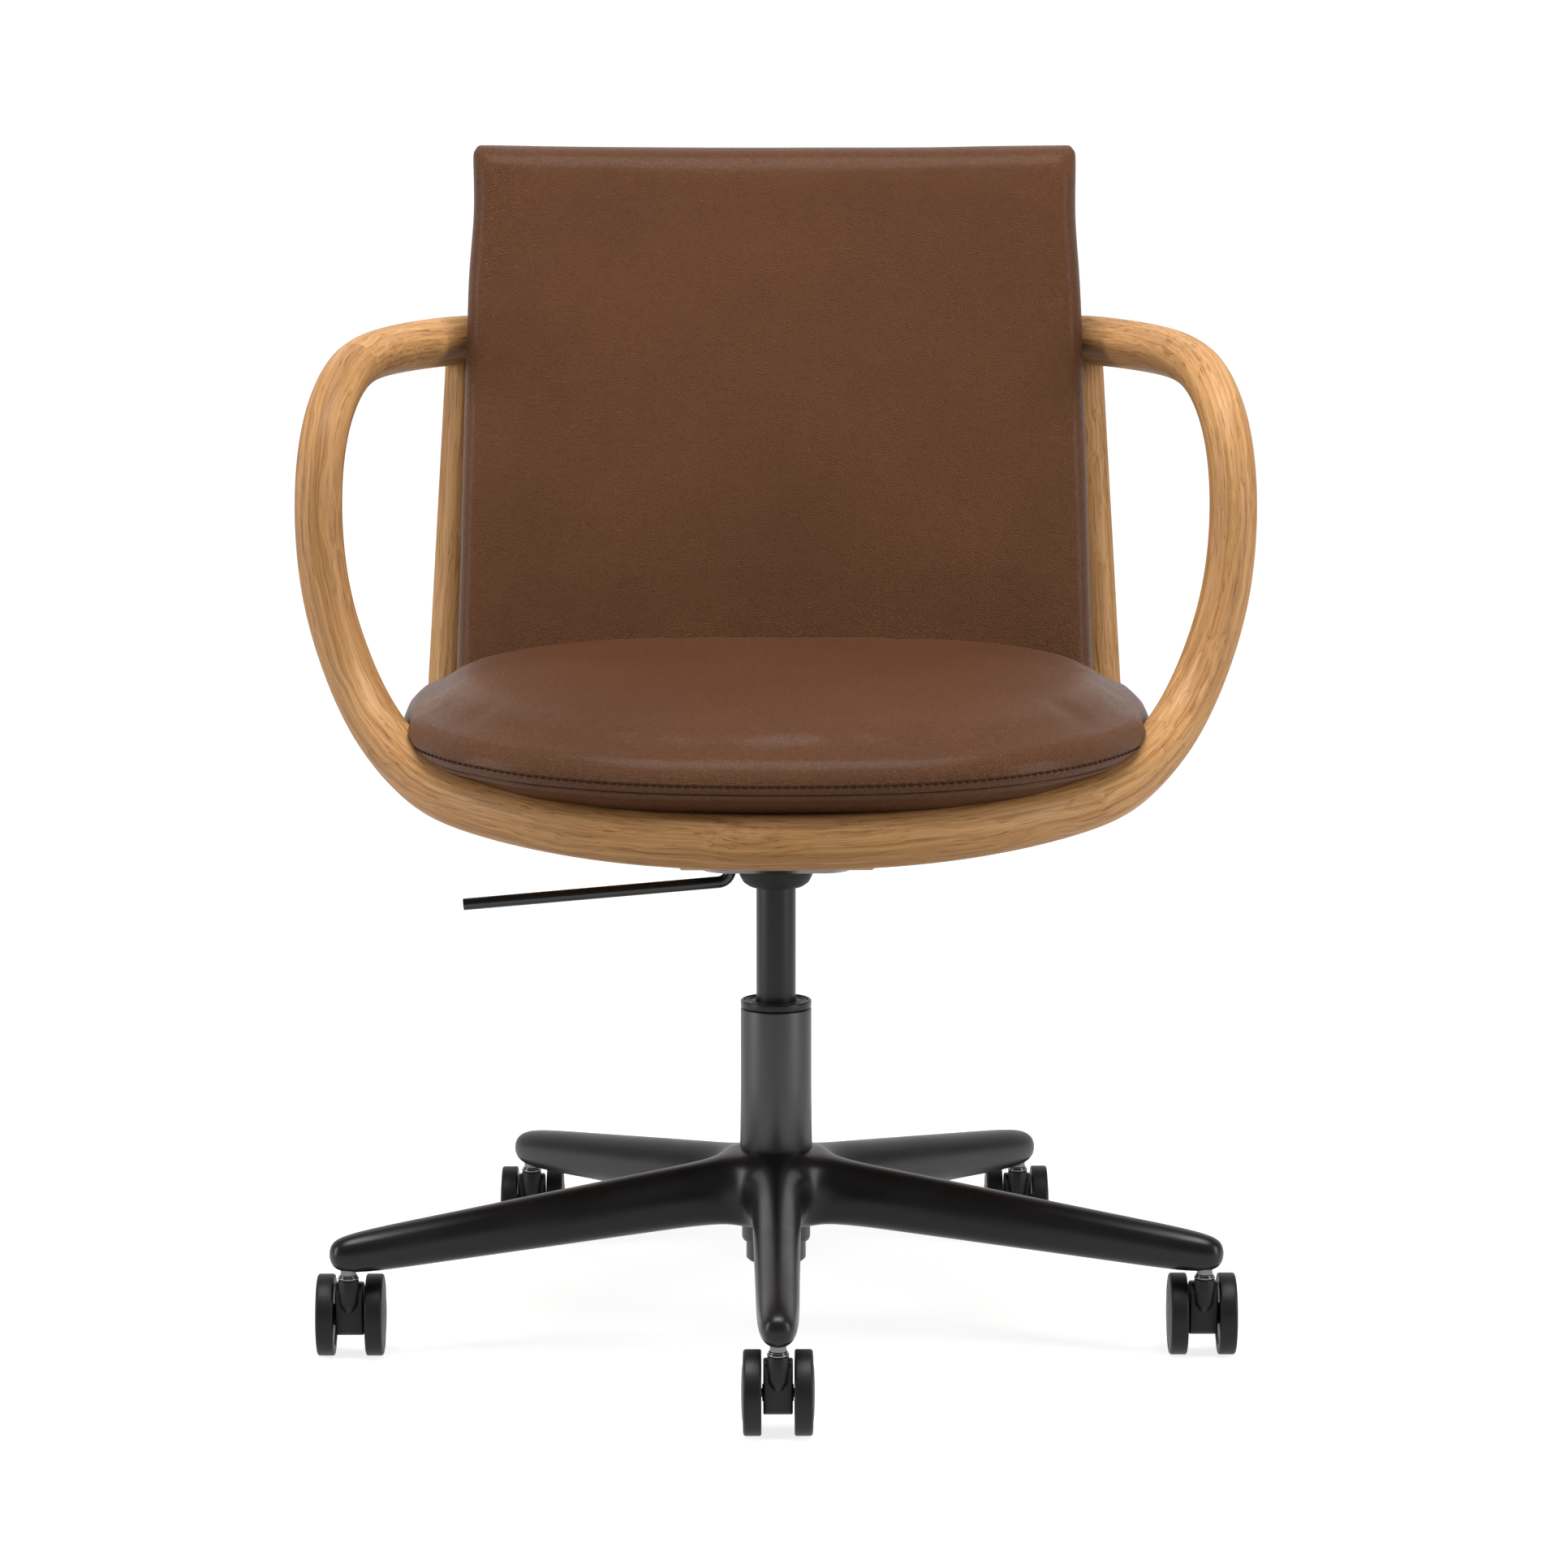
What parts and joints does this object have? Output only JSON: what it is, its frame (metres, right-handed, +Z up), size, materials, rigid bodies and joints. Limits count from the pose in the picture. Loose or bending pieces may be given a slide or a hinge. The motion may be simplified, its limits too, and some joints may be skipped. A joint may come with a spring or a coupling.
{
  "type": "task chair",
  "caption": "Swivelling, height-adjusting task chair: a bent oak loop forms arms and rails round a leather seat and back, on a five-leg base with twin-wheel casters.",
  "frame": {"origin": "on the floor, on the axis of the column", "axes": "+Z up, the front of the chair towards -Y, +X to the viewer's right as seen from the front"},
  "size_m": [0.6688, 0.6469, 0.831],
  "materials": {
    "oak": "satin lacquered oak with fine straight grain",
    "plywood": "plain moulded plywood",
    "leather": "brown pebbled leather, satin",
    "black_paint": "black satin powder coat",
    "column_paint": "dark grey metallic paint",
    "steel": "plain steel",
    "chrome": "bright chrome",
    "black_plastic": "black moulded nylon",
    "grey_plastic": "grey moulded acetal"
  },
  "bodies": {
    "base": {"base_star": "black_paint", "column_tube": "column_paint", "column_cap": "column_paint", "guide_bush": "grey_plastic", "thrust_bearing": "steel", "caster_1_stem": "chrome", "caster_2_stem": "chrome", "caster_3_stem": "chrome", "caster_4_stem": "chrome", "caster_5_stem": "chrome"},
    "spindle": {"piston_rod": "steel", "retaining_clip": "steel"},
    "seat": {"gas_cylinder": "column_paint", "mechanism_plate": "black_paint", "socket_cover": "black_plastic", "lever_pivot": "steel", "plate_screw_1": "steel", "plate_screw_2": "steel", "plate_screw_3": "steel", "plate_screw_4": "steel", "seat_bearer_left": "oak", "seat_bearer_right": "oak", "seat_pan": "plywood", "seat_cushion": "leather", "front_rail": "oak", "arm_left": "oak", "arm_right": "oak", "armrest_left": "oak", "armrest_right": "oak", "back_rail": "oak", "stile_left": "oak", "stile_right": "oak", "rear_rail": "oak", "back_shell": "leather", "back_cushion": "leather", "back_screw_left": "steel", "back_screw_right": "steel"},
    "lever": {"height_lever": "black_paint"},
    "button": {"release_button": "steel"},
    "caster_1": {"caster_1_housing": "black_plastic", "caster_1_axle": "steel"},
    "caster_1_left": {"caster_1_wheel_left": "black_plastic"},
    "caster_1_right": {"caster_1_wheel_right": "black_plastic"},
    "caster_2": {"caster_2_housing": "black_plastic", "caster_2_axle": "steel"},
    "caster_2_left": {"caster_2_wheel_left": "black_plastic"},
    "caster_2_right": {"caster_2_wheel_right": "black_plastic"},
    "caster_3": {"caster_3_housing": "black_plastic", "caster_3_axle": "steel"},
    "caster_3_left": {"caster_3_wheel_left": "black_plastic"},
    "caster_3_right": {"caster_3_wheel_right": "black_plastic"},
    "caster_4": {"caster_4_housing": "black_plastic", "caster_4_axle": "steel"},
    "caster_4_left": {"caster_4_wheel_left": "black_plastic"},
    "caster_4_right": {"caster_4_wheel_right": "black_plastic"},
    "caster_5": {"caster_5_housing": "black_plastic", "caster_5_axle": "steel"},
    "caster_5_left": {"caster_5_wheel_left": "black_plastic"},
    "caster_5_right": {"caster_5_wheel_right": "black_plastic"}
  },
  "joints": [
    {"name": "seat_swivel", "type": "hinge", "parent": "base", "child": "spindle", "pos_m": [0, 0, 0.1], "axis": [0, 0, 1], "continuous": true},
    {"name": "seat_height", "type": "slide", "parent": "spindle", "child": "seat", "axis": [0, 0, 1], "range_m": [-0.065, 0.035]},
    {"name": "lever_lift", "type": "hinge", "parent": "seat", "child": "lever", "pos_m": [-0.0323, 0, 0.3552], "axis": [0, 1, 0], "range_deg": [0, 7], "stiffness_Nm_per_rad": 0.8, "springref_deg": -8.59},
    {"name": "button_press", "type": "slide", "parent": "seat", "child": "button", "axis": [0, 0, -1], "range_m": [0, 0.0042], "stiffness_N_per_m": 300, "springref_m": -0.001},
    {"name": "caster_1_swivel", "type": "hinge", "parent": "base", "child": "caster_1", "pos_m": [0, -0.3132, 0.055], "axis": [0, 0, 1], "continuous": true},
    {"name": "caster_1_left_spin", "type": "hinge", "parent": "caster_1", "child": "caster_1_left", "pos_m": [0, -0.2932, 0.02864], "axis": [1, 0, 0], "continuous": true},
    {"name": "caster_1_right_spin", "type": "hinge", "parent": "caster_1", "child": "caster_1_right", "pos_m": [0, -0.2932, 0.02864], "axis": [1, 0, 0], "continuous": true},
    {"name": "caster_2_swivel", "type": "hinge", "parent": "base", "child": "caster_2", "pos_m": [0.29787, -0.09678, 0.055], "axis": [0, 0, 1], "continuous": true},
    {"name": "caster_2_left_spin", "type": "hinge", "parent": "caster_2", "child": "caster_2_left", "pos_m": [0.29787, -0.07678, 0.02864], "axis": [1, 0, 0], "continuous": true},
    {"name": "caster_2_right_spin", "type": "hinge", "parent": "caster_2", "child": "caster_2_right", "pos_m": [0.29787, -0.07678, 0.02864], "axis": [1, 0, 0], "continuous": true},
    {"name": "caster_3_swivel", "type": "hinge", "parent": "base", "child": "caster_3", "pos_m": [0.18409, 0.25338, 0.055], "axis": [0, 0, 1], "continuous": true},
    {"name": "caster_3_left_spin", "type": "hinge", "parent": "caster_3", "child": "caster_3_left", "pos_m": [0.18409, 0.27338, 0.02864], "axis": [1, 0, 0], "continuous": true},
    {"name": "caster_3_right_spin", "type": "hinge", "parent": "caster_3", "child": "caster_3_right", "pos_m": [0.18409, 0.27338, 0.02864], "axis": [1, 0, 0], "continuous": true},
    {"name": "caster_4_swivel", "type": "hinge", "parent": "base", "child": "caster_4", "pos_m": [-0.18409, 0.25338, 0.055], "axis": [0, 0, 1], "continuous": true},
    {"name": "caster_4_left_spin", "type": "hinge", "parent": "caster_4", "child": "caster_4_left", "pos_m": [-0.18409, 0.27338, 0.02864], "axis": [1, 0, 0], "continuous": true},
    {"name": "caster_4_right_spin", "type": "hinge", "parent": "caster_4", "child": "caster_4_right", "pos_m": [-0.18409, 0.27338, 0.02864], "axis": [1, 0, 0], "continuous": true},
    {"name": "caster_5_swivel", "type": "hinge", "parent": "base", "child": "caster_5", "pos_m": [-0.29787, -0.09678, 0.055], "axis": [0, 0, 1], "continuous": true},
    {"name": "caster_5_left_spin", "type": "hinge", "parent": "caster_5", "child": "caster_5_left", "pos_m": [-0.29787, -0.07678, 0.02864], "axis": [1, 0, 0], "continuous": true},
    {"name": "caster_5_right_spin", "type": "hinge", "parent": "caster_5", "child": "caster_5_right", "pos_m": [-0.29787, -0.07678, 0.02864], "axis": [1, 0, 0], "continuous": true}
  ],
  "couplings": [
    {"joint": "button_press", "follows": "lever_lift", "m_per_rad": 0.0323}
  ]
}
